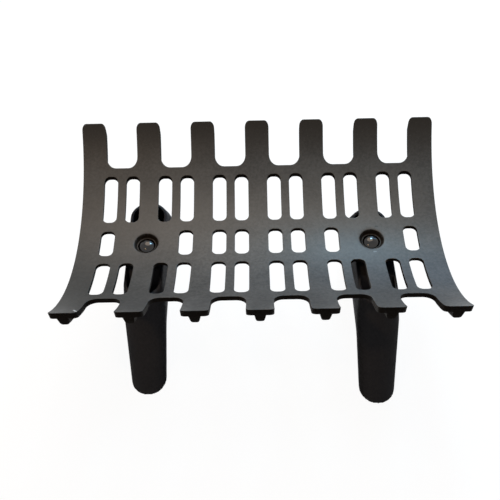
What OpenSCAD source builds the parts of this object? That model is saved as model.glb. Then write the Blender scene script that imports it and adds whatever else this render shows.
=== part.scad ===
// Cast-iron log grate: one curved, slotted casting on two bolted legs.
// Millimetres. X is the width, the front is -Y, Z is up.
// The origin is on the floor, under the middle of the grate.

/* [Grate casting] */
// Distance from one bar to the next, centre to centre
pitch = 86.8; // [82:0.2:94]
// Depth in plan, from the front fingertips to the rear ones
grate_d = 356; // [336:1:376]
// Radius of the cradle, on the top face
cradle_r = 228; // [215:1:260]
// Thickness of the plate
plate_t = 7; // [6:0.5:8]
// Thickness at the outer edge, where a bead runs along the underside
edge_t = 9.5; // [8.5:0.5:11]
// Width of the bead
edge_w = 8; // [6:0.5:9]
// Number of bars
bar_n = 7; // [6:1:8]
// Width of a finger
finger_w = 38; // [34:1:42]
// Corner radius of a fingertip
tip_r = 7; // [4:0.5:10]
// Distance in plan from the middle to the bottom of a gap between fingers
gap_y = 125; // [122:1:135]
// Corner radius at the bottom of a gap
gap_r = 14.5; // [8:0.5:16]
// Depth of the rib under each bar, measured from the plate
rib_h = 12.5; // [8:0.5:13]
// Width of a rib where it meets the plate
rib_w = 17; // [14:0.5:19]
// Narrowing of a rib from its root to its lower face
rib_draft = 5; // [1:0.5:6]

/* [Slots] */
// Width of a slot
slot_w = 21.7; // [18:0.1:23]
// Corner radius of a slot
slot_r = 8.5; // [4:0.5:8.9]
// Distance from the middle of a pair of slots to the centre of each slot
slot_off = 17.5; // [15:0.5:19]
// Distance in plan from the middle to the near end of the long slots
slot_near = 40; // [38:0.5:44]
// Distance in plan from the middle to the far end of the long slots
slot_far = 113; // [104:0.5:115]
// Half the length of the short slots in the middle row
mid_slot = 23.5; // [18:0.5:26]

/* [Legs] */
// Height of a leg, from the floor to its rim
leg_h = 143; // [120:1:160]
// Width of a leg just under its rim
rim_w = 59; // [56:0.5:61]
// Length of a leg just under its rim, front to back
rim_l = 187; // [175:1:192]
// Bevel round the outside of the rim
rim_bevel = 1; // [0.5:0.5:2]
// Width of a leg at its widest, between its rim and its feet
belly_w = 65; // [62:0.5:70]
// Height of a leg's widest part over the floor
belly_z = 100; // [90:1:110]
// Width of a foot on the floor
foot_w = 55.5; // [50:0.5:60]
// Distance over a leg's front and rear feet
foot_l = 369; // [350:1:390]
// How far the feet stand outside the middle of the rim
splay = 2.2; // [0:0.2:4]
// Angle that each leg is turned on its bolt
leg_turn = 0.4; // [0:0.1:1]
// Length of a foot on the floor, at its middle
sole_l = 32; // [26:1:40]
// Thickness of a foot's sole
sole_t = 6; // [4:0.5:8]
// Outer wall of a leg, measured level
leg_wall = 5; // [5:0.5:6.5]
// Inner wall of a leg, over the arch, measured level
back_wall = 8; // [6:0.5:10]
// Depth of the side wall over the arch
skirt_h = 73; // [60:1:80]
// Length of the web that takes the bolt
web_l = 80; // [76:1:90]
// Thickness of the web
web_t = 7; // [5:0.5:10]
// Distance of the bolt hole from the middle of the leg, lengthwise
hole_off_y = 10.6; // [0:0.2:12]
// Distance of the bolt hole from the middle of the rim, sideways
hole_off_x = 4.8; // [0:0.2:5]

/* [Bolts] */
// Diameter of the bolt
bolt_d = 12.7; // [10:0.1:12.7]
// Diameter of the round head
head_d = 27; // [22:0.5:30]
// Height of the round head
head_h = 6.2; // [4:0.1:7]
// Length of the bolt under its head
bolt_l = 44.5; // [42:0.5:50]
// Diameter of the recess round the head, at the top
recess_d = 37.5; // [35:0.5:40]
// Diameter of the recess at its floor
recess_floor_d = 30; // [30:0.5:34]
// Depth of the recess
recess_h = 6; // [4:0.5:7]
// Depth from the top of the plate to the boss's seat on the leg
boss_h = 25; // [20:0.5:26]
// Diameter of the boss at its seat
boss_d = 52; // [46:1:54]
// Outer diameter of the washer
washer_d = 34.9; // [28:0.1:36]
// Thickness of the washer
washer_t = 2.8; // [1.5:0.1:3.5]
// Width of the nut across its flats
nut_af = 19; // [17:0.5:21]
// Height of the nut
nut_h = 11.1; // [8:0.1:12]

/* [Hidden] */
$fn = 96;

grate_w = (bar_n - 1) * pitch + finger_w;
bolt_x = (bar_n - 3) / 2 * pitch;
gap_w = pitch - finger_w;

seat_z = leg_h;                     // top of the legs, under the bosses
top_z = seat_z + boss_h;            // top of the plate, in the middle
axis_z = top_z + cradle_r;          // height of the cradle's centre line
head_z = top_z - recess_h;          // floor of a recess
web_z = seat_z - web_t;             // underside of a web
nut_z = web_z - washer_t - nut_h;   // underside of a nut

sweep_a = 60;                       // half the arc that is swept before trimming
neck_w = bolt_d + 0.1;              // square neck of a bolt
neck_l = 8;
hole_w = bolt_d + 1;                // square hole for the neck
hole_d = bolt_d + 1.6;              // round hole in a leg's web
thread_gap = 0.1;                   // a nut's bore over the bolt
tall = 400;                         // longer than any cut through the plate

arch_r = 20;                        // corner radius of the arch under a leg
heel_y = foot_l / 2 - sole_l;       // inner end of a foot
arch_slope = (heel_y + back_wall - web_l / 2) / leg_h;

iron = [0.27, 0.26, 0.25];
leg_iron = [0.13, 0.13, 0.13];
steel = [0.35, 0.34, 0.34];

function bar_x(i) = (i - (bar_n - 1) / 2) * pitch;

// Distance of the arch's sloping side from the middle of a leg, at a height over the floor.
// The floor of a pocket runs alongside, further out by the inner wall.
function arch_y(z, out) = heel_y - arch_slope * z + out;

// Rectangle from one corner to the opposite one, with round corners.
module round_rect(x0, y0, x1, y1, r) {
    translate([x0 + r, y0]) square([x1 - x0 - 2 * r, y1 - y0]);
    translate([x0, y0 + r]) square([x1 - x0, y1 - y0 - 2 * r]);
    for (x = [x0 + r, x1 - r], y = [y0 + r, y1 - r])
        translate([x, y]) circle(r = r);
}

// A ring section swept round the cradle's centre line, which lies along X.
// Its profile has the radius as x and the place along the width as y.
module swept() {
    translate([0, 0, axis_z])
        rotate([0, 90, 0])
            rotate([0, 0, -sweep_a])
                rotate_extrude(angle = 2 * sweep_a, $fn = 180)
                    children();
}

// Outline of the grate in plan, without its slots, drawn that far inside the edge.
module outline(inset) {
    reach = gap_y + gap_r + 1;
    half_w = finger_w / 2 - inset;
    half_d = grate_d / 2 - inset;
    for (i = [0 : bar_n - 1])
        translate([bar_x(i), 0])
            round_rect(-half_w, -half_d, half_w, half_d, max(tip_r - inset, 1));
    difference() {
        square([grate_w - finger_w, 2 * reach], center = true);
        for (i = [0 : bar_n - 2], side = [-1, 1])
            translate([bar_x(i) + pitch / 2, side * (gap_y + grate_d / 2)])
                round_rect(-gap_w / 2 - inset, -grate_d / 2 - inset,
                           gap_w / 2 + inset, grate_d / 2 + inset, gap_r + inset);
    }
}

// Slots between two bars. The middle row leaves the metal round the bolts whole.
module slots() {
    for (i = [0 : bar_n - 2], side = [-1, 1]) {
        near_bar = side < 0 ? i : i + 1;
        at_bolt = near_bar == 1 || near_bar == bar_n - 2;
        translate([bar_x(i) + pitch / 2 + side * slot_off, 0]) {
            round_rect(-slot_w / 2, slot_near, slot_w / 2, slot_far, slot_r);
            round_rect(-slot_w / 2, -slot_far, slot_w / 2, -slot_near, slot_r);
            if (!at_bolt)
                round_rect(-slot_w / 2, -mid_slot, slot_w / 2, mid_slot, slot_r);
        }
    }
}

// The plate is cut back from the bead's depth to its own thickness inside the bead.
module plate() {
    intersection() {
        difference() {
            swept() translate([cradle_r, -grate_w / 2 - 1]) square([edge_t, grate_w + 2]);
            intersection() {
                swept() translate([cradle_r + plate_t, -grate_w / 2 - 1]) square([tall / 20, grate_w + 2]);
                linear_extrude(tall) outline(edge_w);
            }
        }
        linear_extrude(tall)
            difference() {
                outline(0);
                slots();
            }
    }
}

// Drafted rib under one bar, from fingertip to fingertip.
module rib(x) {
    root = rib_w / 2;
    toe = root - rib_draft / 2;
    under = cradle_r + plate_t;
    intersection() {
        swept()
            translate([under, x])
                polygon([[-1, -root], [0, -root], [rib_h, -toe],
                         [rib_h, toe], [0, root], [-1, root]]);
        translate([x - rib_w, -grate_d / 2, 0]) cube([2 * rib_w, grate_d, tall]);
    }
}

module grate() {
    color(iron)
        difference() {
            union() {
                plate();
                for (i = [0 : bar_n - 1]) rib(bar_x(i));
                for (x = [-bolt_x, bolt_x])
                    translate([x, 0, seat_z])
                        cylinder(d1 = boss_d, d2 = boss_d + 4, h = boss_h - plate_t / 2);
            }
            for (x = [-bolt_x, bolt_x])
                translate([x, 0, 0]) {
                    translate([0, 0, head_z])
                        cylinder(d1 = recess_floor_d, d2 = 2 * recess_d - recess_floor_d, h = 2 * recess_h);
                    translate([-hole_w / 2, -hole_w / 2, seat_z - 1])
                        cube([hole_w, hole_w, boss_h]);
                }
        }
}

// Body of a leg: round-ended in plan, spreading towards the floor and a little fuller in the
// middle of its height. Its surface lies inset inside the leg's outer face.
module leg_flare(inset, past, bevel) {
    skin = 0.01;
    levels = [[-past, foot_w, 0], [belly_z, belly_w, 0],
              [leg_h - bevel, rim_w, 0], [leg_h + past - skin, rim_w, bevel]];
    hull()
        for (level = levels, side = [-1, 1]) {
            share = 1 - level[0] / leg_h;
            reach = rim_l / 2 + (foot_l - rim_l) / 2 * share;
            translate([-splay * share, side * (reach - level[1] / 2), level[0]])
                cylinder(r = level[1] / 2 - inset - level[2], h = skin, $fn = 64);
        }
}

// Runs a side view of the leg, drawn with the depth as x and the height as y, through both sides.
module across() {
    rotate([90, 0, 90]) linear_extrude(2 * belly_w, center = true) children();
}

// Side view of the pockets, which are open at the rim and closed by the soles, and of the
// hollow under the web.
module leg_hollows() {
    for (side = [-1, 1])
        polygon([[side * web_l / 2, leg_h + 2], [side * web_l / 2, leg_h],
                 [side * arch_y(sole_t, back_wall), sole_t],
                 [side * foot_l, sole_t], [side * foot_l, leg_h + 2]]);
    low = arch_y(leg_h - skirt_h - arch_r, 0);
    high = arch_y(leg_h - web_t, 0);
    polygon([[-low, leg_h - skirt_h - arch_r], [low, leg_h - skirt_h - arch_r],
             [high, leg_h - web_t], [-high, leg_h - web_t]]);
}

// Side view of the arch between the feet.
module leg_arch() {
    corner_z = leg_h - skirt_h - arch_r;
    corner_y = arch_y(corner_z, 0) - arch_r * sqrt(1 + arch_slope * arch_slope);
    hull() {
        for (side = [-1, 1])
            translate([side * corner_y, corner_z]) circle(r = arch_r, $fn = 32);
        translate([-arch_y(0, 0), -1]) square([2 * arch_y(0, 0), 1]);
    }
}

// One leg casting. The bolt hole is at the origin and the leg's middle is off it,
// so the same casting turned end for end stands a little further forward.
module leg() {
    color(leg_iron)
        difference() {
            translate([-hole_off_x, hole_off_y, 0])
                difference() {
                    leg_flare(0, 0, rim_bevel);
                    intersection() {
                        leg_flare(leg_wall, 1, 0);
                        across() leg_hollows();
                    }
                    across() leg_arch();
                }
            translate([0, 0, leg_h - web_t - 1])
                cylinder(d = hole_d, h = web_t + 2);
        }
}

module leg_left() {
    translate([-bolt_x, 0, 0]) rotate([0, 0, leg_turn]) leg();
}

module leg_right() {
    translate([bolt_x, 0, 0]) rotate([0, 0, 180 + leg_turn]) leg();
}

// Round-headed, square-necked bolt, with its head's underside at z = 0.
module bolt() {
    dome_r = (head_d * head_d / 4 + head_h * head_h) / (2 * head_h);
    chamfer = 1.2;
    color(steel) {
        intersection() {
            translate([0, 0, head_h - dome_r]) sphere(r = dome_r);
            cylinder(d = head_d + 2, h = head_h + 1);
        }
        translate([-neck_w / 2, -neck_w / 2, -neck_l])
            cube([neck_w, neck_w, neck_l + 1]);
        translate([0, 0, chamfer - bolt_l])
            cylinder(d = bolt_d, h = bolt_l - chamfer);
        translate([0, 0, -bolt_l])
            cylinder(d1 = bolt_d - 2 * chamfer, d2 = bolt_d, h = chamfer);
    }
}

module bolt_left() {
    translate([-bolt_x, 0, head_z]) bolt();
}

module bolt_right() {
    translate([bolt_x, 0, head_z]) bolt();
}

module washer() {
    color(steel)
        difference() {
            cylinder(d = washer_d, h = washer_t);
            translate([0, 0, -1]) cylinder(d = hole_d, h = washer_t + 2);
        }
}

module washer_left() {
    translate([-bolt_x, 0, web_z - washer_t]) washer();
}

module washer_right() {
    translate([bolt_x, 0, web_z - washer_t]) washer();
}

// Six-sided nut with its corners chamfered above and below.
module nut() {
    corner_d = nut_af / cos(30);
    color(steel)
        difference() {
            intersection() {
                cylinder(d = corner_d, h = nut_h, $fn = 6);
                cylinder(d1 = nut_af - 1, d2 = nut_af - 1 + 4 * nut_h, h = nut_h);
                cylinder(d1 = nut_af - 1 + 4 * nut_h, d2 = nut_af - 1, h = nut_h);
            }
            translate([0, 0, -1]) cylinder(d = bolt_d + thread_gap, h = nut_h + 2);
        }
}

module nut_left() {
    translate([-bolt_x, 0, nut_z]) nut();
}

module nut_right() {
    translate([bolt_x, 0, nut_z]) nut();
}

grate();
leg_left();
leg_right();
bolt_left();
bolt_right();
washer_left();
washer_right();
nut_left();
nut_right();
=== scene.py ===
import math

import bpy
import bmesh
import numpy as np
from mathutils import Matrix, Vector, noise
from mathutils.geometry import delaunay_2d_cdt


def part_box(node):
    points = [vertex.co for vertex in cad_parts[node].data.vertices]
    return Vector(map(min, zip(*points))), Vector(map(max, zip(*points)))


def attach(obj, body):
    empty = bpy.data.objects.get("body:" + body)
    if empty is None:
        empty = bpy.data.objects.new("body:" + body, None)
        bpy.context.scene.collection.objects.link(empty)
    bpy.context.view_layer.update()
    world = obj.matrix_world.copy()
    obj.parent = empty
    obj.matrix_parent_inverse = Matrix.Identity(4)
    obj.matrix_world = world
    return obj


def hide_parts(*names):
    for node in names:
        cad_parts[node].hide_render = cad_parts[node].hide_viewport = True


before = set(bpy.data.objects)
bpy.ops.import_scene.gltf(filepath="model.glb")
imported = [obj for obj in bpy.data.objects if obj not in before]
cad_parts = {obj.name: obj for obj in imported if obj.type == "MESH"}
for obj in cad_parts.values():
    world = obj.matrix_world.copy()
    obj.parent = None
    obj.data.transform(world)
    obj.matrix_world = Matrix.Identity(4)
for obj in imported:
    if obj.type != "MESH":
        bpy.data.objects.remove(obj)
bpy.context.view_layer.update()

MM = 0.001
ROOT = "root"

# ---------------------------------------------------------------- sizes, in metres

GRATE_LOW, GRATE_HIGH = (Vector(c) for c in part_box("grate"))
LEG_HIGH = Vector(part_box("leg_left")[1])
BOLT_LOW, BOLT_HIGH = (Vector(c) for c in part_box("bolt_left"))
WASHER_LOW, WASHER_HIGH = (Vector(c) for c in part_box("washer_left"))
NUT_LOW, NUT_HIGH = (Vector(c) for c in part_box("nut_left"))

# plate, fingers, and the gaps between them
BAR_N = 7
CRADLE_R = 228 * MM
PLATE_T = 7 * MM
EDGE_T = 9.5 * MM
FINGER_W = 38 * MM
TIP_R = 7 * MM
GAP_Y = 125 * MM
GAP_R = 14.5 * MM
GRATE_W = GRATE_HIGH.x - GRATE_LOW.x
GRATE_D = GRATE_HIGH.y - GRATE_LOW.y
PITCH = (GRATE_W - FINGER_W) / (BAR_N - 1)
GAP_W = PITCH - FINGER_W
AXIS_Z = GRATE_HIGH.z + math.sqrt(CRADLE_R ** 2 - GRATE_D ** 2 / 4)
TOP_Z = AXIS_Z - CRADLE_R

# slots: their width and corners, their distance from the middle of a gap, and their ends
SLOT_W = 21.7 * MM
SLOT_R = 8.5 * MM
SLOT_OFF = 17.5 * MM
SLOT_NEAR = 40 * MM
SLOT_FAR = 113 * MM
MID_SLOT = 23.5 * MM

# bosses and recesses, and the holes for the bolts in the plate and in the legs' webs
BOLT_X = (BAR_N - 3) / 2 * PITCH
SEAT_Z = LEG_HIGH.z
RECESS_DEPTH = 6 * MM
RECESS_Z = TOP_Z - RECESS_DEPTH
HOLE_W = 13.7 * MM
HOLE_R = 1 * MM
WEB_HOLE_R = 7.15 * MM


def bar_x(i):
    return (i - (BAR_N - 1) / 2) * PITCH


# ---------------------------------------------------------------- mesh helpers

ARC_STEP = 13           # degrees between the points of a rounded corner
TOUCHING = 1e-6         # places closer than this are one
END_SHARE = 0.02        # the part of a run at each end that takes no column
COLUMN_CLEAR = 2 * MM   # how near a column may come to another point of its run
INSIDE = 1              # asks the triangulation for the triangles inside the outer edge
WELD = 1e-7
DRAFT_RINGS = ((0.25, 0.3), (0.7, 0.7))   # each a share of a wall's draft, at a share of its height

# how worn the edges of a casting are, from 0 to 1: the upper edge's two limits, and the lower edge
LIMIT_WEAR = 0.35
LOWER_WEAR = 0.25


def new_piece(name, verts, faces, **marks):
    """A smooth mesh object from vertices and faces.

    Each mark is a value per vertex that the piece's material reads.
    """
    mesh = bpy.data.meshes.new(name)
    mesh.from_pydata([tuple(v) for v in verts], [], [tuple(f) for f in faces])
    mesh.validate()
    mesh.shade_smooth()
    for mark, values in marks.items():
        layer = mesh.attributes.new(mark, "FLOAT", "POINT")
        layer.data.foreach_set("value", np.asarray(values, dtype=np.float32))
    piece = bpy.data.objects.new(name, mesh)
    bpy.context.scene.collection.objects.link(piece)
    return piece


def left_of(direction):
    return Vector((-direction.y, direction.x))


def corner_arc(before, here, after, radius):
    """The points of one rounded corner of a path, each with its inward normal."""
    inward = (here - before).normalized()
    outward = (after - here).normalized()
    turn = math.atan2(inward.x * outward.y - inward.y * outward.x, inward.dot(outward))
    reach = radius * math.tan(abs(turn) / 2)
    side = 1 if turn > 0 else -1
    start = here - inward * reach
    centre = start + left_of(inward) * radius * side
    parts = max(1, round(abs(math.degrees(turn)) / ARC_STEP))
    arc = []
    for k in range(parts + 1):
        spin = Matrix.Rotation(turn * k / parts, 2)
        arc.append((centre + spin @ (start - centre), spin @ left_of(inward)))
    return arc


def run_stops(start, end, step, columns):
    """Shares along a straight run where a point is wanted. Only a level run meets the columns."""
    run = (end - start).length
    parts = max(1, round(run / step))
    stops = [k / parts for k in range(1, parts)]
    if abs(start.y - end.y) < TOUCHING:
        met = [(x - start.x) / (end.x - start.x) for x in columns]
        met = [t for t in met if END_SHARE < t < 1 - END_SHARE]
        if met:
            stops = [t for t in stops if min(abs(t - u) for u in met) * run > COLUMN_CLEAR] + met
    return sorted(stops)


def rounded_path(corners, radii, step, columns=()):
    """Points and inward normals along a closed path with rounded corners.

    The metal lies on the left. Level runs of the path also get a point at each column.
    """
    count = len(corners)
    arcs = []
    for i in range(count):
        before, here, after = (Vector(corners[(i + k) % count]) for k in (-1, 0, 1))
        arcs.append(corner_arc(before, here, after, radii[i]))
    points, normals = [], []
    for i in range(count):
        points += [point for point, _ in arcs[i]]
        normals += [normal for _, normal in arcs[i]]
        start, normal = arcs[i][-1]
        end = arcs[(i + 1) % count][0][0]
        if (end - start).length < TOUCHING:
            continue
        for t in run_stops(start, end, step, columns):
            points.append(start.lerp(end, t))
            normals.append(normal)
    return np.array([p[:] for p in points]), np.array([n[:] for n in normals])


def round_rect_hole(x, y0, y1, width, radius, step):
    """An opening, travelled clockwise so that the metal is on the left."""
    a, b = x - width / 2, x + width / 2
    return rounded_path([(a, y0), (a, y1), (b, y1), (b, y0)], [radius] * 4, step)


def round_rect_distance(px, py, cx, cy, half_x, half_y, radius):
    """Distance outside a rounded rectangle, negative inside it."""
    qx = np.abs(px - cx) - (half_x - radius)
    qy = np.abs(py - cy) - (half_y - radius)
    outside = np.hypot(np.maximum(qx, 0), np.maximum(qy, 0))
    return outside + np.minimum(np.maximum(qx, qy), 0) - radius


def wall_profile(top_r, bottom_r, draft, margin, arc_steps=4):
    """How a casting's wall runs from its upper face to its lower one.

    Each entry is (inset into the metal, share of the wall's height, drop from that level, wear).
    """
    quarter = [math.pi / 2 * k / arc_steps for k in range(arc_steps + 1)]
    rows = [(top_r + margin, 0, 0, 0.0)]
    for k, a in enumerate(quarter):
        wear = LIMIT_WEAR if k in (0, arc_steps) else 1.0
        rows.append((top_r * (1 - math.sin(a)), 0, top_r * (1 - math.cos(a)), wear))
    for inset, share in DRAFT_RINGS:
        rows.append((draft * inset, share, 0, 0.0))
    for a in quarter:
        rows.append((draft + bottom_r * (1 - math.cos(a)), 1, -bottom_r * (1 - math.sin(a)), LOWER_WEAR))
    rows.append((draft + bottom_r + margin, 1, 0, 0.0))
    return rows


def cover(verts, rims, inner):
    """Triangles between a face's rims, through the vertices that lie inside the metal.

    The first rim is the outer edge. A triangle with all its corners on one of the other rims lies in
    that opening, and is left out.
    """
    ids, edges, owner = [], [], []
    for number, rim in enumerate(rims):
        base = len(ids)
        edges += [(base + k, base + (k + 1) % len(rim)) for k in range(len(rim))]
        ids += rim
        owner += [number] * len(rim)
    ids += inner
    owner += [0] * len(inner)
    flat = [Vector(verts[i][:2]) for i in ids]
    _, _, tris, origin, _, _ = delaunay_2d_cdt(flat, edges, [], INSIDE, WELD)
    kept = []
    for tri in tris:
        corners = [origin[i][0] for i in tri]
        owners = {owner[i] for i in corners}
        if len(owners) > 1 or 0 in owners:
            kept.append([ids[i] for i in corners])
    return kept


def cast_slab(loops, top, bottom, profile, upper_points, lower_points):
    """A closed mesh between two height functions, with rounded walls round every loop.

    The first loop is the outer edge and the others are openings. The points lie inside the
    metal, clear of the walls' roundings, as (x, y, wear) rows.
    """
    verts, faces, wear = [], [], []
    upper_rims, lower_rims = [], []
    for points, normals in loops:
        rings = []
        for inset, share, drop, mark in profile:
            at = points + normals * inset
            high = top(at[:, 0], at[:, 1])
            low = bottom(at[:, 0], at[:, 1])
            z = high + (low - high) * share - drop
            rings.append(range(len(verts), len(verts) + len(at)))
            verts += [(x, y, h) for (x, y), h in zip(at, z)]
            wear += [mark] * len(at)
        for upper, lower in zip(rings, rings[1:]):
            count = len(upper)
            for k in range(count):
                m = (k + 1) % count
                faces.append((upper[k], lower[k], lower[m], upper[m]))
        upper_rims.append(rings[0])
        lower_rims.append(rings[-1])
    for rims, height, inner, order in ((upper_rims, top, upper_points, 1),
                                       (lower_rims, bottom, lower_points, -1)):
        z = height(inner[:, 0], inner[:, 1])
        inner_ids = range(len(verts), len(verts) + len(inner))
        verts += [(x, y, h) for (x, y, _), h in zip(inner, z)]
        wear += list(inner[:, 2])
        faces += [tri[::order] for tri in cover(verts, rims, inner_ids)]
    return verts, faces, wear


def lattice(xs, ys):
    """A grid of points without wear."""
    gx, gy = np.meshgrid(xs, ys)
    return np.column_stack([gx.ravel(), gy.ravel(), np.zeros(gx.size)])


def ring_points(cx, cy, radii, marks, count):
    """Rings of points round a place. Every second ring is turned by half a step."""
    turn = np.arange(count) * 2 * math.pi / count
    rows = []
    for k, (r, mark) in enumerate(zip(radii, marks)):
        a = turn + (k % 2) * math.pi / count
        rows.append(np.column_stack([cx + r * np.cos(a), cy + r * np.sin(a), np.full(count, mark)]))
    return np.vstack(rows)


def waviness(x, y, size, seed):
    """Slow unevenness of a sand-cast face, from 0 to 1."""
    values = [noise.noise(Vector((a / size, b / size, seed))) for a, b in zip(x, y)]
    return np.clip(0.5 + 0.5 * np.array(values), 0, 1)


# ---------------------------------------------------------------- grate casting

CAST_UNEVEN = 0.25 * MM

# rib section from its middle outwards: (distance from the middle, height below the plate)
RIB_SECTION = np.array([(0, 12.5), (2.4, 12.5), (3.7, 12.3), (4.7, 11.8), (5.5, 10.9), (6.05, 9.7),
                        (6.5, 8.0), (7.0, 5.8), (7.5, 3.7), (8.1, 2.0), (8.9, 0.9), (10, 0.25),
                        (11.4, 0)]) * MM

# boss side, as (distance from the bolt, share of the way from the plate down to the seat)
BOSS_SECTION = np.array([(10, 1), (19, 1), (24.2, 1), (25.2, 0.985), (25.8, 0.94), (26.1, 0.86),
                         (26.4, 0.7), (26.8, 0.5), (27.2, 0.33), (27.8, 0.19), (28.8, 0.09), (30.2, 0.025),
                         (32, 0)])
BOSS_SECTION[:, 0] *= MM

# recess side, as (distance from the bolt, share of the way from the plate's face to the recess's floor)
RECESS_SECTION = np.array([(10.2, 1), (13, 1), (14.4, 1), (15.1, 0.97), (15.7, 0.88), (16.3, 0.73),
                           (17.1, 0.5), (17.8, 0.3), (18.35, 0.15), (18.8, 0.05), (19.2, 0.012),
                           (19.8, 0)])
RECESS_SECTION[:, 0] *= MM

# bead under the outer edge, as (distance in from the edge, share of its depth)
BEAD_SECTION = np.array([(0, 1), (5.8, 1), (6.8, 0.96), (7.5, 0.82), (8.1, 0.55), (8.7, 0.25),
                         (9.5, 0.06), (10.6, 0)])
BEAD_SECTION[:, 0] *= MM

# distance between points along the casting's straight edges, and along the bolts' square holes
EDGE_STEP = 5 * MM
HOLE_STEP = 3 * MM

# points over the plate's faces: the lattice's half counts and steps in millimetres, and the rings' points
LATTICE_ROWS, ROW_STEP = 35, 5.0
LATTICE_COLUMNS, COLUMN_STEP = 49, 5.6
RECESS_SPOKES = 64
BOSS_SPOKES = 72

# how far the lattice keeps from ribs, recesses and bosses, and all points from an edge
RIB_CLEAR = 2.5 * MM
RECESS_CLEAR = 1.5 * MM
BOSS_CLEAR = 1 * MM
EDGE_CLEAR = 2.6 * MM

# rows of points run down the bead's inner side: the lattice keeps only the points whose share of the
# bead's depth is this near 0 or 1, and a row only those this near to its own distance from the edge
BEAD_LEVEL = 0.01
BEAD_MATCH = 0.15 * MM

# wear along the bead, and at the recess's lip and the boss's lower edge, each between two shares
# of its section
BEAD_WEAR = 0.3
LIP_WEAR, LIP_SHARES = 1.0, (0.01, 0.35)
BOSS_WEAR, BOSS_SHARES = 0.6, (0.8, 0.99)

# a recess is painted dark as shade from an eighth of its depth on, but a little less on its floor, which
# the bolt's head rubs
RECESS_SHADE_GAIN = 8
FLOOR_SHARE = 0.98
FLOOR_RUBBED = 0.35


def bolt_distance(x, y):
    return np.hypot(np.abs(x) - BOLT_X, y)


def along_section(section, distance):
    """The second column of a section, at a distance given in its first."""
    return np.interp(distance, section[:, 0], section[:, 1])


def edge_distance(x, y):
    """Distance in plan from a point of the casting to its outer edge, slots left out."""
    x, y = np.asarray(x, float), np.asarray(y, float)
    near = -round_rect_distance(x, y, 0, 0, GRATE_W / 2, GRATE_D / 2, TIP_R)
    for i in range(BAR_N - 1):
        middle = bar_x(i) + PITCH / 2
        gap = round_rect_distance(x, np.abs(y), middle, GAP_Y + GRATE_D / 2,
                                  GAP_W / 2, GRATE_D / 2, GAP_R)
        near = np.minimum(near, gap)
    return near


def grate_top(x, y):
    uneven = CAST_UNEVEN * waviness(x, y, size=38 * MM, seed=1.7)
    plate = AXIS_Z - np.sqrt(CRADLE_R ** 2 - y ** 2) - uneven
    sunk = along_section(RECESS_SECTION, bolt_distance(x, y))
    return plate + (RECESS_Z - plate) * sunk


def grate_bottom(x, y):
    off = np.abs((x / PITCH + 0.5) % 1 - 0.5) * PITCH
    rib = along_section(RIB_SECTION, off)
    bead = (EDGE_T - PLATE_T) * along_section(BEAD_SECTION, edge_distance(x, y))
    uneven = CAST_UNEVEN * waviness(x, y, size=30 * MM, seed=5.1)
    radius = CRADLE_R + PLATE_T + np.maximum(rib, bead) - uneven
    under = AXIS_Z - np.sqrt(radius ** 2 - y ** 2)
    return under + (SEAT_Z - under) * along_section(BOSS_SECTION, bolt_distance(x, y))


def slot_places():
    """Each slot as (x, low y, high y). The middle row leaves the metal round the bolts whole."""
    for i in range(BAR_N - 1):
        for side in (-1, 1):
            x = bar_x(i) + PITCH / 2 + side * SLOT_OFF
            yield x, SLOT_NEAR, SLOT_FAR
            yield x, -SLOT_FAR, -SLOT_NEAR
            bar = i if side < 0 else i + 1
            if bar not in (1, BAR_N - 2):
                yield x, -MID_SLOT, MID_SLOT


def metal_depth(x, y):
    """Distance in plan from a point of the grate's metal to its nearest edge."""
    near = edge_distance(x, y)
    for slot_x, y0, y1 in slot_places():
        slot = round_rect_distance(x, y, slot_x, (y0 + y1) / 2, SLOT_W / 2, (y1 - y0) / 2, SLOT_R)
        near = np.minimum(near, slot)
    hole = round_rect_distance(np.abs(x), y, BOLT_X, 0, HOLE_W / 2, HOLE_W / 2, HOLE_R)
    return np.minimum(near, hole)


def rib_columns():
    """The x of every line along the ribs where their section bends."""
    columns = []
    for i in range(BAR_N):
        for off in RIB_SECTION[:, 0]:
            columns += [bar_x(i) - off, bar_x(i) + off] if off else [bar_x(i)]
    return sorted(columns)


def grate_outline():
    """The casting's outer edge, anticlockwise from the front left fingertip."""
    corners, radii = [], []
    half = FINGER_W / 2
    for i in range(BAR_N):
        corners += [(bar_x(i) - half, -GRATE_D / 2), (bar_x(i) + half, -GRATE_D / 2)]
        radii += [TIP_R, TIP_R]
        if i < BAR_N - 1:
            corners += [(bar_x(i) + half, -GAP_Y), (bar_x(i + 1) - half, -GAP_Y)]
            radii += [GAP_R, GAP_R]
    corners += [(-x, -y) for x, y in corners]
    radii += radii
    return rounded_path(corners, radii, EDGE_STEP, rib_columns())


def bead_points():
    """Rows of points along the bead's inner side, so that its section shows."""
    edge, inward = grate_outline()
    slope = BEAD_SECTION[BEAD_SECTION[:, 1] < 1]
    rows = []
    for inset in slope[:, 0]:
        at = edge + inward * inset
        at = at[np.abs(edge_distance(at[:, 0], at[:, 1]) - inset) < BEAD_MATCH]
        rows.append(np.column_stack([at, np.full(len(at), BEAD_WEAR)]))
    return np.vstack(rows)


def face_points(xs, ys, section, clear, wear, shares, spokes):
    """Points over one face of the plate: a lattice, and rings down its recesses or bosses."""
    marks = [wear if shares[0] < share < shares[1] else 0.0 for share in section[:, 1]]
    points = lattice(xs, ys)
    points = points[bolt_distance(points[:, 0], points[:, 1]) > section[-1, 0] + clear]
    for side in (-1, 1):
        points = np.vstack([points, ring_points(side * BOLT_X, 0, section[:, 0], marks, spokes)])
    return points


def lattice_lines(half_count, step):
    return np.arange(-half_count, half_count + 1) * step * MM


def upper_points():
    xs = lattice_lines(LATTICE_COLUMNS, COLUMN_STEP)
    ys = lattice_lines(LATTICE_ROWS, ROW_STEP)
    points = face_points(xs, ys, RECESS_SECTION, RECESS_CLEAR, LIP_WEAR, LIP_SHARES, RECESS_SPOKES)
    return points[metal_depth(points[:, 0], points[:, 1]) > EDGE_CLEAR]


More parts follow.
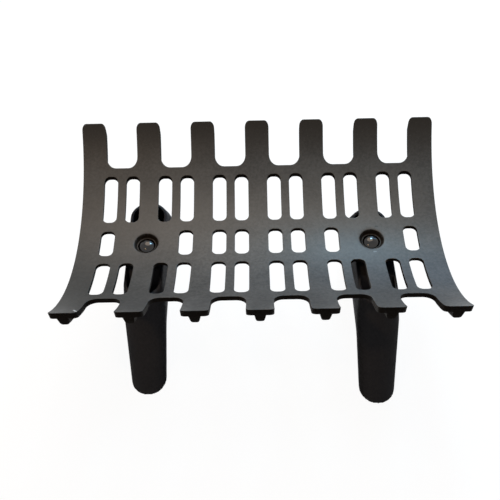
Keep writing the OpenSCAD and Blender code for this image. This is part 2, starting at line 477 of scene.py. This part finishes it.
def lower_points():
    ribs = rib_columns()
    xs = lattice_lines(LATTICE_COLUMNS, COLUMN_STEP)
    xs = sorted(ribs + [x for x in xs if min(abs(x - r) for r in ribs) > RIB_CLEAR])
    ys = lattice_lines(LATTICE_ROWS, ROW_STEP)
    points = face_points(xs, ys, BOSS_SECTION, BOSS_CLEAR, BOSS_WEAR, BOSS_SHARES, BOSS_SPOKES)
    bead = along_section(BEAD_SECTION, edge_distance(points[:, 0], points[:, 1]))
    level = (bead < BEAD_LEVEL) | (bead > 1 - BEAD_LEVEL)
    points = np.vstack([points[level], bead_points()])
    return points[metal_depth(points[:, 0], points[:, 1]) > EDGE_CLEAR]


def make_grate():
    loops = [grate_outline()]
    loops += [round_rect_hole(x, y0, y1, SLOT_W, SLOT_R, EDGE_STEP) for x, y0, y1 in slot_places()]
    for side in (-1, 1):
        loops.append(round_rect_hole(side * BOLT_X, -HOLE_W / 2, HOLE_W / 2, HOLE_W, HOLE_R, HOLE_STEP))
    profile = wall_profile(top_r=0.6 * MM, bottom_r=0.7 * MM, draft=0.1 * MM, margin=1.1 * MM)
    verts, faces, wear = cast_slab(loops, grate_top, grate_bottom, profile,
                                   upper_points(), lower_points())
    places = np.array(verts)
    sunk = along_section(RECESS_SECTION, bolt_distance(places[:, 0], places[:, 1]))
    # painted shade: the bolts' recesses are darkened, fully past an eighth of their depth
    black_and_shade = np.minimum(sunk * RECESS_SHADE_GAIN, 1) - FLOOR_RUBBED * (sunk > FLOOR_SHARE)
    piece = new_piece("grate_casting", verts, faces, edge=wear, recess=black_and_shade)
    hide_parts("grate")
    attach(piece, ROOT)
    return piece


# ---------------------------------------------------------------- legs

LEG_VOXEL = 1.3 * MM
LEG_SOFTEN_STEPS = 7
LEG_SOFTEN_SHARE = 0.5
BOX_MARGIN = 1e-6

# how strongly an edge has to stick out before it counts as worn, and how often that is evened out
CONVEX_GAIN = 9
CONVEX_FLOOR = 0.25
CONVEX_PASSES = 2


def into_box(coords, low, high):
    """Keeps reworked vertices inside the CAD box they came from."""
    return np.clip(coords, np.array(low) + BOX_MARGIN, np.array(high) - BOX_MARGIN)


def convexity(mesh, size):
    """From 0 on level or hollow ground to 1 on an edge that sticks out, measured over that size."""
    coords = np.empty(len(mesh.vertices) * 3)
    mesh.vertices.foreach_get("co", coords)
    coords = coords.reshape(-1, 3)
    normals = np.array([v.normal[:] for v in mesh.vertices])
    ends = np.empty(len(mesh.edges) * 2, dtype=np.int64)
    mesh.edges.foreach_get("vertices", ends)
    a, b = ends.reshape(-1, 2).T
    count = np.bincount(ends, minlength=len(coords))

    def sum_of_neighbours(values):
        return np.bincount(a, values[b], len(coords)) + np.bincount(b, values[a], len(coords))

    mean = np.column_stack([sum_of_neighbours(coords[:, axis]) / count for axis in range(3)])
    stick_out = ((coords - mean) * normals).sum(axis=1) / size
    for _ in range(CONVEX_PASSES):
        stick_out = 0.5 * stick_out + 0.5 * sum_of_neighbours(stick_out) / count
    return np.clip(stick_out * CONVEX_GAIN - CONVEX_FLOOR, 0, 1)


def make_leg(name, node):
    """A leg casting with the softened edges and filled corners of poured iron."""
    leg = bpy.data.objects.new(name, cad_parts[node].data.copy())
    bpy.context.scene.collection.objects.link(leg)
    cast = leg.modifiers.new("cast", "REMESH")
    cast.mode = "VOXEL"
    cast.voxel_size = LEG_VOXEL
    soften = leg.modifiers.new("soften", "SMOOTH")
    soften.factor = LEG_SOFTEN_SHARE
    soften.iterations = LEG_SOFTEN_STEPS
    made = bpy.data.meshes.new_from_object(leg.evaluated_get(bpy.context.evaluated_depsgraph_get()))
    leg.modifiers.clear()
    leg.data = made
    coords = np.array([v.co[:] for v in made.vertices])
    coords = into_box(coords, *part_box(node))
    made.vertices.foreach_set("co", coords.ravel())
    made.update()
    layer = made.attributes.new("edge", "FLOAT", "POINT")
    layer.data.foreach_set("value", convexity(made, LEG_VOXEL).astype(np.float32))
    made.shade_smooth()
    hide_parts(node)
    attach(leg, ROOT)
    return leg


# ---------------------------------------------------------------- bolts, washers and nuts

TURNED_SIDES = 72       # points round a bolt's head and a washer
SHANK_SIDES = 40
NUT_SIDES = 96
CREASE = math.radians(35)

# bolt head: a dome that ends in a low lip
HEAD_R = (BOLT_HIGH.x - BOLT_LOW.x) / 2
HEAD_H = BOLT_HIGH.z - RECESS_Z
DOME_STEPS = 18
LIP_H = 0.35 * MM
LIP_IN = 0.4 * MM
LIP_ROUND = 0.3 * MM

# square neck under the head
NECK_HALF = 6.4 * MM
NECK_LOW = -8 * MM
NECK_HIGH = 0.5 * MM
NECK_CORNER = 1.6 * MM
NECK_BEVEL = 0.6 * MM

# threaded shank: the thread fades out over two pitches at its upper end, and to a trace at its lower end
BOLT_R = 6.35 * MM
SHANK_TOP = -7.5 * MM
THREAD_PITCH = 1.954 * MM
THREAD_DEPTH = 1.15 * MM
THREAD_FLANK = 1.25
THREAD_RINGS = 8
FADE_TOP = 2
FADE_END = 0.8
END_TRACE = 0.15

# nut: clearance in the bore, width of the ring round it, chamfer, and bluntness of the corners
BORE_CLEAR = 0.05 * MM
BORE_RING = 0.7 * MM
NUT_FACE_IN = 0.5 * MM
NUT_CHAMFER = math.tan(math.radians(30))
NUT_CHAMFER_OUT = 0.15 * MM
NUT_BLUNT = 0.25 * MM
NUT_LEVELS = [0, 0.3, 0.7, 1.2, 1.8, 2.6]      # heights above a face where it gets a ring, in millimetres


def on_ring(r, k, count, z):
    a = 2 * math.pi * k / count
    return Vector((r * math.cos(a), r * math.sin(a), z))


def revolve(profile, count):
    """Closed rings round Z from (radius, height) points. A point on the axis closes the shape."""
    verts, faces = [], []
    rings = []
    for r, z in profile:
        if r < WELD:
            rings.append([len(verts)])
            verts.append(Vector((0, 0, z)))
            continue
        rings.append(list(range(len(verts), len(verts) + count)))
        verts += [on_ring(r, k, count, z) for k in range(count)]
    for a, b in zip(rings, rings[1:]):
        for k in range(count):
            m = (k + 1) % count
            quad = [a[k % len(a)], b[k % len(b)], b[m % len(b)], a[m % len(a)]]
            quad = list(dict.fromkeys(quad))
            if len(quad) > 2:
                faces.append(quad)
    return verts, faces


def rounded(corners, radii, steps):
    """Points along an open (radius, height) line. Each corner between its ends is rounded."""
    points = [Vector(corners[0])]
    for before, here, after, r in zip(corners, corners[1:], corners[2:], radii):
        before, here, after = Vector(before), Vector(here), Vector(after)
        a = here - (here - before).normalized() * r
        b = here + (after - here).normalized() * r
        for k in range(steps + 1):
            t = k / steps
            points.append((1 - t) ** 2 * a + 2 * t * (1 - t) * here + t ** 2 * b)
    points.append(Vector(corners[-1]))
    return points


def stack_rings(rings, count):
    """Quads between rings given as lists of (radius, height), capped at both ends."""
    verts, faces = [], []
    for ring in rings:
        verts += [on_ring(r, k, count, z) for k, (r, z) in enumerate(ring)]
    for s in range(len(rings) - 1):
        for k in range(count):
            m = (k + 1) % count
            faces.append((s * count + k, s * count + m, (s + 1) * count + m, (s + 1) * count + k))
    faces.append(tuple(range(count))[::-1])
    faces.append(tuple(range((len(rings) - 1) * count, len(rings) * count)))
    return verts, faces


def joined(parts):
    verts, faces = [], []
    for v, f in parts:
        base = len(verts)
        verts += v
        faces += [[base + i for i in face] for face in f]
    return verts, faces


def thread_radius(angle, z, depth):
    """A V-shaped thread with a flat crest, as the radius at a place on its shank."""
    turn = (z / THREAD_PITCH - angle / (2 * math.pi)) % 1
    return BOLT_R - depth * (1 - min(1.0, abs(2 * turn - 1) * THREAD_FLANK))


def thread_rings(low, high):
    """Rings of a threaded shank between two heights, with the thread fading at both ends."""
    steps = int((high - low) / THREAD_PITCH * THREAD_RINGS)
    rings = []
    for s in range(steps + 1):
        z = low + (high - low) * s / steps
        fade = min(1, (high - z) / (FADE_TOP * THREAD_PITCH))
        fade *= min(1, (z - low) / (FADE_END * THREAD_PITCH) + END_TRACE)
        angles = [2 * math.pi * k / SHANK_SIDES for k in range(SHANK_SIDES)]
        rings.append([(thread_radius(angle, z, THREAD_DEPTH * fade), z) for angle in angles])
    return rings


def neck_rings():
    """Rings of the square neck, with blunt corners and a bevel at its lower end."""
    rings = []
    for z, shrink in ((NECK_LOW, NECK_BEVEL), (NECK_LOW + NECK_BEVEL, 0), (NECK_HIGH, 0)):
        ring = []
        for k in range(SHANK_SIDES):
            a = 2 * math.pi * k / SHANK_SIDES
            flat = (NECK_HALF - shrink) / max(abs(math.cos(a)), abs(math.sin(a)))
            ring.append((min(flat, NECK_HALF * math.sqrt(2) - NECK_CORNER - shrink), z))
        rings.append(ring)
    return rings


def bolt_mesh():
    """Round head, square neck and threaded shank, with the head's underside at z = 0."""
    dome_r = (HEAD_R ** 2 + HEAD_H ** 2) / (2 * HEAD_H)
    reach = math.asin(HEAD_R / dome_r)
    dome = []
    for k in range(DOME_STEPS - 1):
        a = reach * k / DOME_STEPS
        dome.append((dome_r * math.sin(a), HEAD_H - dome_r + dome_r * math.cos(a)))
    lip = rounded([dome[-1], (HEAD_R, LIP_H), (HEAD_R - LIP_IN, 0)], [LIP_ROUND], 3)
    verts, faces = revolve(dome + [tuple(p) for p in lip[1:]] + [(0, 0)], TURNED_SIDES)
    head = verts, [face[::-1] for face in faces]
    neck = stack_rings(neck_rings(), SHANK_SIDES)
    shank = stack_rings(thread_rings(BOLT_LOW.z - RECESS_Z, SHANK_TOP), SHANK_SIDES)
    return joined([head, neck, shank])


def washer_mesh():
    """Flat washer with the rounded edges of a punched one, most of all below and outside."""
    inner = WEB_HOLE_R
    outer = (WASHER_HIGH.x - WASHER_LOW.x) / 2
    thick = WASHER_HIGH.z - WASHER_LOW.z
    start = (inner, thick / 2)
    corners = [start, (inner, 0), (outer, 0), (outer, thick), (inner, thick), start]
    radii = [0.25 * MM, 0.8 * MM, 0.3 * MM, 0.4 * MM]
    points = [tuple(p) for p in rounded(corners, radii, 4)][:-1]
    verts, faces = revolve(points + [points[0]], TURNED_SIDES)
    return verts, [face[::-1] for face in faces]


def nut_mesh():
    """Six-sided nut with chamfered corners and a plain bore."""
    count = NUT_SIDES
    height = NUT_HIGH.z - NUT_LOW.z
    flat = (NUT_HIGH.y - NUT_LOW.y) / 2
    bore = BOLT_R + BORE_CLEAR
    face_r = flat - NUT_FACE_IN
    levels = [z * MM for z in NUT_LEVELS + [height / MM / 2]]
    levels += [height - z for z in reversed(levels[:-1])]

    def side(k):
        """Distance from the axis to the nut's side."""
        a = (2 * math.pi * k / count) % (math.pi / 3) - math.pi / 6
        return min(flat / math.cos(a), flat / math.cos(math.pi / 6) - NUT_BLUNT)

    across = [bore, bore + BORE_RING, face_r]
    rings = [[(r, height)] * count for r in across]
    for z in reversed(levels):
        reach = face_r + NUT_CHAMFER_OUT + min(z, height - z) / NUT_CHAMFER
        rings.append([(min(side(k), reach), z) for k in range(count)])
    rings += [[(r, 0)] * count for r in reversed(across)]
    verts, faces = stack_rings(rings, count)
    faces = [face for face in faces if len(face) == 4]
    last = (len(rings) - 1) * count
    for k in range(count):
        m = (k + 1) % count
        faces.append((last + k, last + m, m, k))
    return verts, [face[::-1] for face in faces]


def make_fastener(name, node, built, x, z):
    """A bolt, washer or nut at its place, smooth but for its sharp edges."""
    verts, faces = built
    place = Vector((x, 0, z))
    piece = new_piece(name, [place + v for v in verts], faces)
    mesh = bmesh.new()
    mesh.from_mesh(piece.data)
    bmesh.ops.recalc_face_normals(mesh, faces=mesh.faces)
    for edge in mesh.edges:
        edge.smooth = len(edge.link_faces) < 2 or edge.calc_face_angle(0) < CREASE
    mesh.to_mesh(piece.data)
    mesh.free()
    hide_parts(node)
    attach(piece, ROOT)
    return piece


# ---------------------------------------------------------------- material helpers

def group_tree(name, inputs, outputs):
    tree = bpy.data.node_groups.new(name, "ShaderNodeTree")
    for label, kind, value in inputs:
        socket = tree.interface.new_socket(label, in_out="INPUT", socket_type=kind)
        socket.default_value = value
    for label, kind in outputs:
        tree.interface.new_socket(label, in_out="OUTPUT", socket_type=kind)
    return tree, tree.nodes.new("NodeGroupInput"), tree.nodes.new("NodeGroupOutput")


def use_group(tree, group, **values):
    node = tree.nodes.new("ShaderNodeGroup")
    node.node_tree = group
    for label, value in values.items():
        node.inputs[label.replace("_", " ")].default_value = value
    return node


def is_socket(value):
    return isinstance(value, bpy.types.NodeSocket)


def feed(tree, socket, value):
    """Links a socket to another one, or sets it to a constant."""
    if is_socket(value):
        tree.links.new(value, socket)
    else:
        socket.default_value = value


def math_node(tree, operation, a, b, clamp=False):
    node = tree.nodes.new("ShaderNodeMath")
    node.operation = operation
    node.use_clamp = clamp
    feed(tree, node.inputs[0], a)
    feed(tree, node.inputs[1], b)
    return node.outputs[0]


def noise_node(tree, vector, scale, detail, rough, distort=0.0):
    node = tree.nodes.new("ShaderNodeTexNoise")
    tree.links.new(vector, node.inputs["Vector"])
    for label, value in (("Scale", scale), ("Detail", detail), ("Roughness", rough),
                         ("Distortion", distort)):
        feed(tree, node.inputs[label], value)
    return node.outputs["Fac"]


def span(tree, value, low, high, to_low=0.0, to_high=1.0):
    """Eases a value from one range into another."""
    node = tree.nodes.new("ShaderNodeMapRange")
    node.interpolation_type = "SMOOTHSTEP"
    tree.links.new(value, node.inputs["Value"])
    for label, v in (("From Min", low), ("From Max", high), ("To Min", to_low), ("To Max", to_high)):
        node.inputs[label].default_value = v
    return node.outputs["Result"]


def mix_colour(tree, factor, a, b):
    node = tree.nodes.new("ShaderNodeMix")
    node.data_type = "RGBA"
    feed(tree, node.inputs[0], factor)
    for index, value in ((6, a), (7, b)):
        feed(tree, node.inputs[index], value if is_socket(value) else (*value, 1.0))
    return node.outputs[2]


def object_coords(tree):
    return tree.nodes.new("ShaderNodeTexCoord").outputs["Object"]


def vertex_mark(tree, name):
    """A value per vertex that the piece's mesh holds under that name, or 0 where it has none."""
    node = tree.nodes.new("ShaderNodeAttribute")
    node.attribute_name = name
    return node.outputs["Fac"]


def facing_up(tree, low, high):
    """1 on upward faces, which ash and logs rub pale and which are painted as lit; 0 on sides and
    undersides, painted as shaded.
    """
    normal = tree.nodes.new("ShaderNodeNewGeometry").outputs["Normal"]
    parts = tree.nodes.new("ShaderNodeSeparateXYZ")
    tree.links.new(normal, parts.inputs[0])
    return span(tree, parts.outputs["Z"], low, high)


def vector_node(tree, operation, a, b=None):
    node = tree.nodes.new("ShaderNodeVectorMath")
    node.operation = operation
    feed(tree, node.inputs[0], a)
    if b is not None:
        feed(tree, node.inputs[1], b)
    return node


def along_line(tree, start, end, reach):
    """1 along a line between two places on a casting, fading to 0 at that distance from it."""
    run = end - start
    offset = vector_node(tree, "SUBTRACT", object_coords(tree), start).outputs["Vector"]
    share = vector_node(tree, "DOT_PRODUCT", offset, run).outputs["Value"]
    share = math_node(tree, "DIVIDE", share, run.length_squared, clamp=True)
    nearest = vector_node(tree, "SCALE", run)
    tree.links.new(share, nearest.inputs["Scale"])
    gap = vector_node(tree, "DISTANCE", offset, nearest.outputs["Vector"]).outputs["Value"]
    return span(tree, gap, 0.0, reach, 1.0, 0.0)


def start_material(name, roughness, specular, metallic=0.0, coat=0.0, coat_roughness=0.2):
    material = bpy.data.materials.new(name)
    material.use_nodes = True
    tree = material.node_tree
    shader = tree.nodes["Principled BSDF"]
    shader.inputs["Roughness"].default_value = roughness
    shader.inputs["Specular IOR Level"].default_value = specular
    shader.inputs["Metallic"].default_value = metallic
    shader.inputs["Coat Weight"].default_value = coat
    shader.inputs["Coat Roughness"].default_value = coat_roughness
    return material, tree, shader


def set_bump(tree, shader, height, strength, distance):
    bump = tree.nodes.new("ShaderNodeBump")
    bump.inputs["Strength"].default_value = strength
    bump.inputs["Distance"].default_value = distance
    tree.links.new(height, bump.inputs["Height"])
    tree.links.new(bump.outputs["Normal"], shader.inputs["Normal"])


def give(piece, material):
    piece.data.materials.clear()
    piece.data.materials.append(material)


# ---------------------------------------------------------------- materials

# the irons' coating has hardly any shine of its own: rubbing polishes it, which is a rough clear coat
IRON_SPECULAR = 0.005
POLISH_ROUGHNESS = 0.42
ROUGHNESS_SWING = 0.05
WORN_SMOOTHER = 0.1
SPECK_SHARE = 0.35
SKIN_STRENGTH = 0.5
SKIN_DEPTH = 0.25 * MM

# Marks on the plate's upper face, in millimetres: where from and where to, how far each reaches, how
# strong it is, and its colour. The first five are painted shade and painted light, and the nick is partly
# a painted glint.
GRATE_MARKS = {
    # painted shade: the front left is darkened where less light falls, its darkest part in the next row
    "painted shade at front left": ((-262, -65), (-257, -140), 170, 0.55, (0.038, 0.040, 0.039)),
    "darkest part of the painted shade": ((-260, -100), (-259, -135), 80, 0.40, (0.040, 0.036, 0.030)),
    # painted shade: the rear fingertips, which face away from the light, are darkened
    "painted shade on the rear fingertips": ((-270, 178), (270, 178), 85, 0.90, (0.026, 0.020, 0.014)),
    # painted light: a warm pale band across the rear half, where the warm light falls
    "painted warm light band": ((-270, 65), (210, 65), 85, 0.32, (0.195, 0.163, 0.136)),
    # painted light: a lighter patch on the middle left, where more light falls
    "painted light patch": ((-215, 30), (-120, 60), 130, 0.40, (0.146, 0.128, 0.113)),
    # a chip in the coat painted near white: partly the bare metal, partly a painted glint
    "nick with painted glint": ((-248.0, -163.5), (-242.5, -170.5), 2.4, 1.0, (0.75, 0.75, 0.73)),
    "worn edge": ((262, -177.9), (277, -177.9), 1.6, 0.8, (0.42, 0.41, 0.40)),
    "scuff": ((174.5, -25.0), (177.2, -24.6), 2.4, 0.6, (0.30, 0.32, 0.34)),
    "pit": ((182.3, 24.0), (184.9, 24.0), 2.6, 0.6, (0.020, 0.019, 0.018)),
}


def on_plate(x, y):
    """A place on the plate's upper face, from its x and y in millimetres."""
    return Vector((x * MM, y * MM, AXIS_Z - math.sqrt(CRADLE_R ** 2 - (y * MM) ** 2)))


def make_sand_skin():
    """Surface of a sand casting: fine grain, dimples and slow blotches."""
    tree, ins, outs = group_tree(
        "sand_skin",
        [("Grain Scale", "NodeSocketFloat", 900.0), ("Grain Depth", "NodeSocketFloat", 0.35),
         ("Dimple Depth", "NodeSocketFloat", 0.6)],
        [("Height", "NodeSocketFloat"), ("Blotch", "NodeSocketFloat"), ("Speck", "NodeSocketFloat")])
    where = object_coords(tree)
    grain = noise_node(tree, where, scale=ins.outputs["Grain Scale"], detail=3.0, rough=0.6)
    peel = noise_node(tree, where, scale=330.0, detail=1.5, rough=0.45)
    dimples = noise_node(tree, where, scale=95.0, detail=1.0, rough=0.4)
    pits = span(tree, noise_node(tree, where, scale=240.0, detail=0.0, rough=0.5), 0.17, 0.27)
    height = math_node(tree, "MULTIPLY", grain, ins.outputs["Grain Depth"])
    for layer, depth in ((peel, 0.45), (dimples, ins.outputs["Dimple Depth"]), (pits, 0.5)):
        height = math_node(tree, "ADD", height, math_node(tree, "MULTIPLY", layer, depth))
    tree.links.new(height, outs.inputs["Height"])
    slow = noise_node(tree, where, scale=22.0, detail=4.0, rough=0.62, distort=0.4)
    mottle = noise_node(tree, where, scale=210.0, detail=3.0, rough=0.7)
    slow = span(tree, slow, 0.32, 0.68, 0.0, 0.4)
    mottle = span(tree, mottle, 0.3, 0.7, 0.0, 0.6)
    tree.links.new(math_node(tree, "ADD", slow, mottle), outs.inputs["Blotch"])
    speck = noise_node(tree, where, scale=520.0, detail=2.0, rough=0.6)
    tree.links.new(span(tree, speck, 0.62, 0.78), outs.inputs["Speck"])
    return tree


def make_edge_wear():
    """Where the coating is rubbed off a casting's edges, broken up by noise."""
    tree, ins, outs = group_tree(
        "edge_wear",
        [("Amount", "NodeSocketFloat", 0.6), ("Break Up", "NodeSocketFloat", 140.0)],
        [("Mask", "NodeSocketFloat")])
    patches = noise_node(tree, object_coords(tree), scale=ins.outputs["Break Up"], detail=3.0, rough=0.65)
    mask = math_node(tree, "MULTIPLY", vertex_mark(tree, "edge"), span(tree, patches, 0.38, 0.66))
    mask = math_node(tree, "MULTIPLY", mask, ins.outputs["Amount"], clamp=True)
    tree.links.new(mask, outs.inputs["Mask"])
    return tree


def make_iron(name, skin, wear, marks, black_and_shade, dark, light, bare, facing_from, facing_to, roughness,
              polish, grain, wear_amount, mottling):
    """Black-coated cast iron.

    Walls, undersides and recesses keep the dark coat, deepened as painted shade. Faces that look up are
    worn to blotches between dark and light, which also paints them as lit, with a polish, and edges are
    worn to the bare metal. Mottling is how much of the blotches the walls show.
    """
    material, tree, shader = start_material(name, roughness, IRON_SPECULAR,
                                            coat_roughness=POLISH_ROUGHNESS)
    surface = use_group(tree, skin, Grain_Depth=grain)
    worn = use_group(tree, wear, Amount=wear_amount).outputs["Mask"]
    blotch = surface.outputs["Blotch"]
    # painted light and shade: upward faces take the lit colours, and sides, undersides and recesses the
    # shaded ones
    worn_and_lit = facing_up(tree, facing_from, facing_to)
    worn_and_lit = math_node(tree, "SUBTRACT", worn_and_lit, vertex_mark(tree, "recess"), clamp=True)
    colour = mix_colour(tree, blotch, dark, light)
    for start, end, reach, strength, tone in marks:
        where = along_line(tree, on_plate(*start), on_plate(*end), reach * MM)
        colour = mix_colour(tree, math_node(tree, "MULTIPLY", where, strength), colour, tone)
    shaded_dark_skin = mix_colour(tree, math_node(tree, "MULTIPLY", blotch, mottling), black_and_shade, dark)
    colour = mix_colour(tree, worn_and_lit, shaded_dark_skin, colour)
    speck = math_node(tree, "MULTIPLY", surface.outputs["Speck"], SPECK_SHARE)
    colour = mix_colour(tree, speck, colour, bare)
    colour = mix_colour(tree, worn, colour, bare)
    tree.links.new(colour, shader.inputs["Base Color"])
    tree.links.new(math_node(tree, "MULTIPLY", worn_and_lit, polish), shader.inputs["Coat Weight"])
    rough = span(tree, blotch, 0.0, 1.0, roughness + ROUGHNESS_SWING, roughness - ROUGHNESS_SWING)
    rough = math_node(tree, "SUBTRACT", rough, math_node(tree, "MULTIPLY", worn, WORN_SMOOTHER))
    tree.links.new(rough, shader.inputs["Roughness"])
    set_bump(tree, shader, surface.outputs["Height"], SKIN_STRENGTH, SKIN_DEPTH)
    return material


def make_grate_iron(skin, wear):
    """The grate's iron: worn grey and polished over its whole upper side, which is painted as lit, with
    its marks, some of them painted light and shade.
    """
    return make_iron(
        "grate_iron", skin, wear, GRATE_MARKS.values(),
        # black paints shade on the walls and undersides, and dark and light paint the upper face as lit
        black_and_shade=(0.022, 0.017, 0.0135), dark=(0.066, 0.061, 0.057), light=(0.124, 0.115, 0.107),
        bare=(0.17, 0.165, 0.16), facing_from=0.35, facing_to=0.70, roughness=0.44, polish=0.45,
        grain=0.35, wear_amount=0.3, mottling=0.04)


def make_leg_iron(skin, wear):
    """The legs' iron: blacker and more mottled than the grate's, its sides painted near black as shade,
    and hardly polished.
    """
    return make_iron(
        "leg_iron", skin, wear, (),
        # black paints the legs' sides near black as shade
        black_and_shade=(0.006, 0.0055, 0.005), dark=(0.056, 0.055, 0.061), light=(0.075, 0.073, 0.078),
        bare=(0.10, 0.095, 0.09), facing_from=0.1, facing_to=0.5, roughness=0.46, polish=0.1,
        grain=0.45, wear_amount=0.35, mottling=0.9)


def make_fastener_steel():
    """Blackened, oiled steel of the bolts, washers and nuts."""
    material, tree, shader = start_material("fastener_steel", roughness=0.22, specular=0.5, metallic=0.85,
                                            coat=0.75, coat_roughness=0.05)
    where = object_coords(tree)
    smear = noise_node(tree, where, scale=160.0, detail=4.0, rough=0.6, distort=0.6)
    oiled = span(tree, smear, 0.35, 0.7)
    colour = mix_colour(tree, oiled, (0.004, 0.0035, 0.003), (0.011, 0.009, 0.0075))
    tree.links.new(colour, shader.inputs["Base Color"])
    tree.links.new(span(tree, smear, 0.3, 0.75, 0.10, 0.22), shader.inputs["Roughness"])
    grain = noise_node(tree, where, scale=900.0, detail=2.0, rough=0.5)
    set_bump(tree, shader, grain, strength=0.15, distance=0.1 * MM)
    return material


# ---------------------------------------------------------------- camera, floor and light

LENS = 51.94
SENSOR = 36.0
ELEVATION = math.radians(52.98)
HEADING = math.radians(-1.08)
ROLL = math.radians(-1.93)
DISTANCE = 12.80 * PITCH
AIM = 0.01752           # how far the cradle's middle lies right of and above the view's, in image widths

FLOOR_R = 5.0
FLOOR_SHADE = (0.12, 0.12, 0.12)
FLOOR_SEEN = (0.15, 0.15, 0.15)
FLOOR_GLOW = 0.94
WORLD_FILL = (0.07, 0.07, 0.072)
WORLD_SEEN = (1, 1, 1)


def make_camera():
    ahead = Vector((math.sin(HEADING) * math.cos(ELEVATION), math.cos(HEADING) * math.cos(ELEVATION),
                    -math.sin(ELEVATION)))
    right = Vector((math.cos(HEADING), -math.sin(HEADING), 0))
    up = right.cross(ahead)
    across = right * math.cos(ROLL) + up * math.sin(ROLL)
    upward = up * math.cos(ROLL) - right * math.sin(ROLL)
    view_width = DISTANCE * SENSOR / LENS
    middle = Vector((0, 0, TOP_Z))
    stand = middle - ahead * DISTANCE - across * AIM * view_width - upward * AIM * view_width
    data = bpy.data.cameras.new("camera")
    data.lens = LENS
    data.sensor_width = SENSOR
    camera = bpy.data.objects.new("camera", data)
    camera.matrix_world = Matrix((
        (across.x, upward.x, -ahead.x, stand.x),
        (across.y, upward.y, -ahead.y, stand.y),
        (across.z, upward.z, -ahead.z, stand.z),
        (0, 0, 0, 1)))
    bpy.context.scene.collection.objects.link(camera)
    bpy.context.scene.camera = camera


def seen_by_eye(tree):
    """1 for camera, glossy and transmission rays, and 0 for the light that falls on the object."""
    path = tree.nodes.new("ShaderNodeLightPath")
    seen = math_node(tree, "MAXIMUM", path.outputs["Is Camera Ray"], path.outputs["Is Glossy Ray"])
    return math_node(tree, "MAXIMUM", seen, path.outputs["Is Transmission Ray"])


def make_floor():
    """A pale floor that looks nearly white, and throws little light back at the object."""
    bpy.ops.mesh.primitive_circle_add(vertices=96, radius=FLOOR_R, fill_type="NGON")
    floor = bpy.context.object
    floor.name = "floor"
    material, tree, shader = start_material("pale_floor", roughness=0.9, specular=0.1)
    seen = seen_by_eye(tree)
    tree.links.new(mix_colour(tree, seen, FLOOR_SHADE, FLOOR_SEEN), shader.inputs["Base Color"])
    shader.inputs["Emission Color"].default_value = (1, 1, 1, 1)
    tree.links.new(math_node(tree, "MULTIPLY", seen, FLOOR_GLOW), shader.inputs["Emission Strength"])
    give(floor, material)


def make_world():
    """White to the eye, with a weak grey fill."""
    world = bpy.data.worlds.new("studio")
    bpy.context.scene.world = world
    world.use_nodes = True
    tree = world.node_tree
    back = tree.nodes["Background"]
    tree.links.new(mix_colour(tree, seen_by_eye(tree), WORLD_FILL, WORLD_SEEN), back.inputs["Color"])
    back.inputs["Strength"].default_value = 1.0


def area_light(name, at, size, power, colour):
    """A round light that shines at the middle of the cradle."""
    data = bpy.data.lights.new(name, "AREA")
    data.shape = "DISK"
    data.size = size
    data.energy = power
    data.color = colour
    light = bpy.data.objects.new(name, data)
    light.location = at
    light.rotation_euler = (Vector((0, 0, TOP_Z)) - Vector(at)).to_track_quat("-Z", "Y").to_euler()
    bpy.context.scene.collection.objects.link(light)


def make_lights():
    area_light("overhead", at=(0.0, 1.0, 1.6), size=1.5, power=16.5, colour=(1.0, 0.82, 0.66))
    area_light("sky", at=(0.8, 1.6, 0.85), size=1.3, power=7.5, colour=(0.05, 0.45, 1.0))
    area_light("window", at=(0.26, 0.63, 0.8), size=0.24, power=4.2, colour=(0.36, 0.74, 1.0))
    area_light("lamp", at=(-0.45, -0.40, 1.15), size=0.10, power=1.1, colour=(1.0, 0.68, 0.40))


# ---------------------------------------------------------------- assembly

make_camera()
make_world()
make_lights()
make_floor()
bpy.context.scene.view_settings.view_transform = "Standard"

sand_skin = make_sand_skin()
edge_wear = make_edge_wear()
grate_iron = make_grate_iron(sand_skin, edge_wear)
leg_iron = make_leg_iron(sand_skin, edge_wear)
steel = make_fastener_steel()

give(make_grate(), grate_iron)
for side in ("left", "right"):
    give(make_leg("leg_casting_" + side, "leg_" + side), leg_iron)
for side, x in (("left", -BOLT_X), ("right", BOLT_X)):
    give(make_fastener("round_head_bolt_" + side, "bolt_" + side, bolt_mesh(), x, RECESS_Z), steel)
    give(make_fastener("flat_washer_" + side, "washer_" + side, washer_mesh(), x, WASHER_LOW.z), steel)
    give(make_fastener("hex_nut_" + side, "nut_" + side, nut_mesh(), x, NUT_LOW.z), steel)
